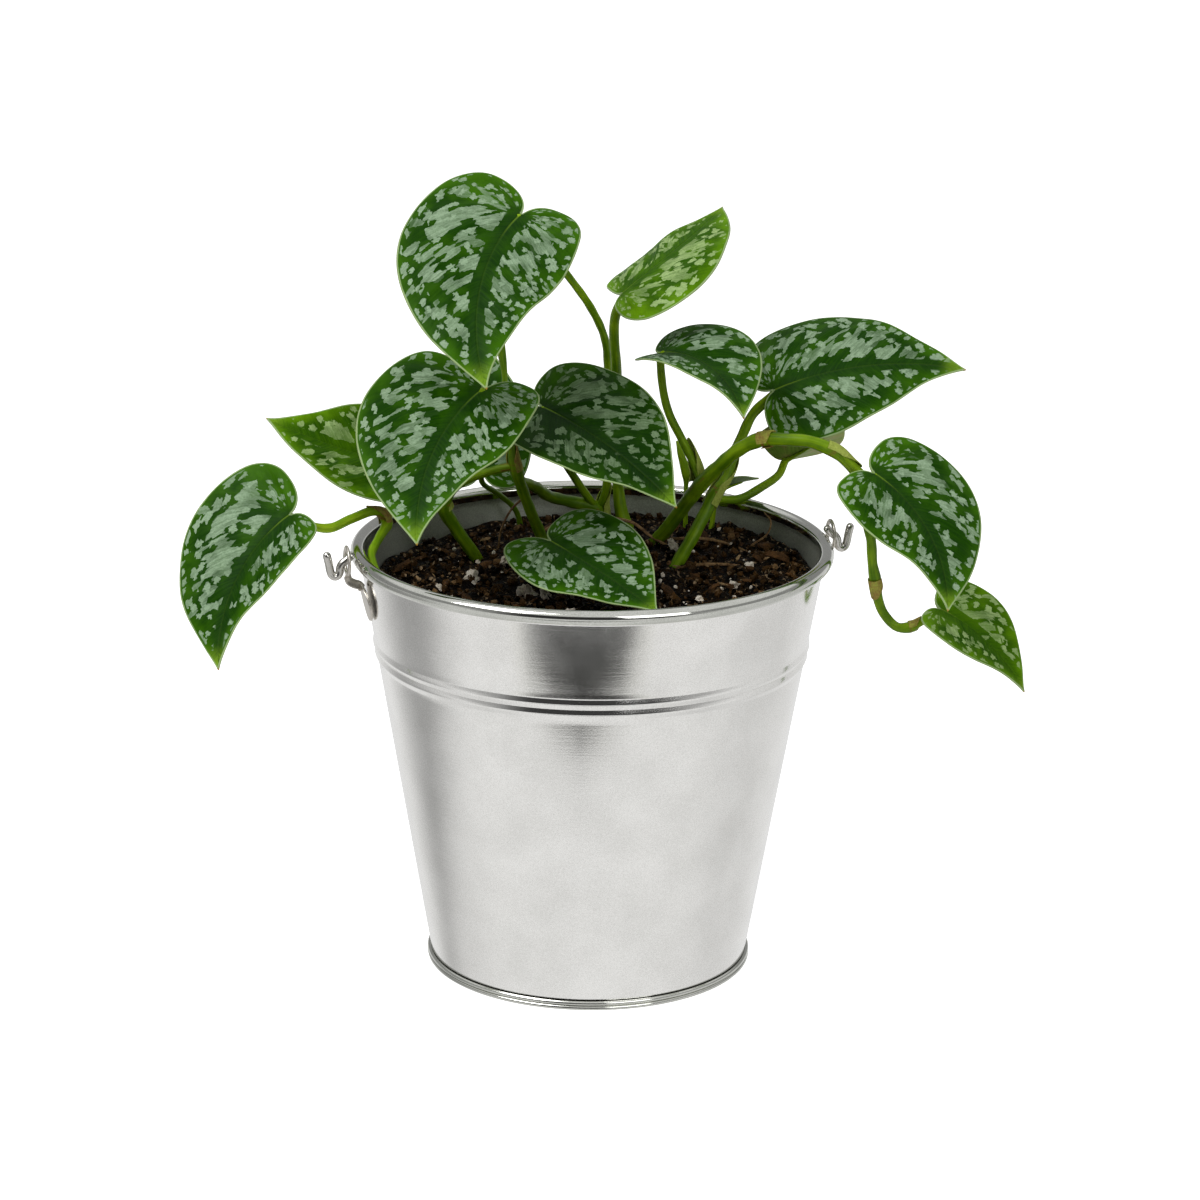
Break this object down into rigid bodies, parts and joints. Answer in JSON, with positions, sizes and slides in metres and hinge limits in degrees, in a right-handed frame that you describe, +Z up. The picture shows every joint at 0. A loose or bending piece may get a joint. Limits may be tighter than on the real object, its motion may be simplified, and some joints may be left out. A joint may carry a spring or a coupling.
{
  "type": "potted satin pothos",
  "caption": "Satin pothos with silver-marked heart-shaped leaves and a trailing vine, growing in a small tapered galvanised pail with wire hooks in its ears.",
  "frame": {"origin": "middle of the pail's flat underside, where the pail stands", "axes": "+Z up along the pail's axis; +X to the right seen from the front, where the vine trails over the rim; +Y to the back"},
  "size_m": [0.2478, 0.14, 0.2294],
  "materials": {
    "galvanised": "satin",
    "wire": "satin",
    "soil": "matte",
    "stem": "satin",
    "leaf_dark": "satin",
    "leaf_bright": "satin"
  },
  "bodies": {
    "plant": {"pail_wall": "galvanised", "pail_bottom": "galvanised", "ear_left": "galvanised", "ear_right": "galvanised", "potting_soil": "soil", "vine_right": "stem", "vine_right_back": "stem", "vine_middle": "stem", "vine_left": "stem", "stem_upright": "stem", "petiole_front": "stem", "petiole_back": "stem", "petiole_small_back": "stem", "furled_leaf_back": "stem", "leaf_top": "leaf_dark", "leaf_left_centre": "leaf_dark", "leaf_left_bright": "leaf_bright", "leaf_far_left": "leaf_dark", "leaf_centre": "leaf_dark", "leaf_front_small": "leaf_dark", "leaf_upper_right": "leaf_bright", "leaf_folded": "leaf_dark", "leaf_right": "leaf_dark", "leaf_right_hanging": "leaf_dark", "leaf_trailing": "leaf_bright", "leaf_behind_centre": "leaf_dark", "leaf_underside": "leaf_bright", "leaf_small_back": "leaf_dark"},
    "left_hook": {"hook_left": "wire"},
    "right_hook": {"hook_right": "wire"}
  },
  "joints": [
    {"name": "left_hook_swing", "type": "hinge", "parent": "plant", "child": "left_hook", "pos_m": [-0.07001, -0.01681, 0.1256], "axis": [-0.9724, -0.2334, 0], "range_deg": [-40, 40]},
    {"name": "right_hook_swing", "type": "hinge", "parent": "plant", "child": "right_hook", "pos_m": [0.07001, 0.01681, 0.1256], "axis": [0.9724, 0.2334, 0], "range_deg": [-40, 40]}
  ]
}
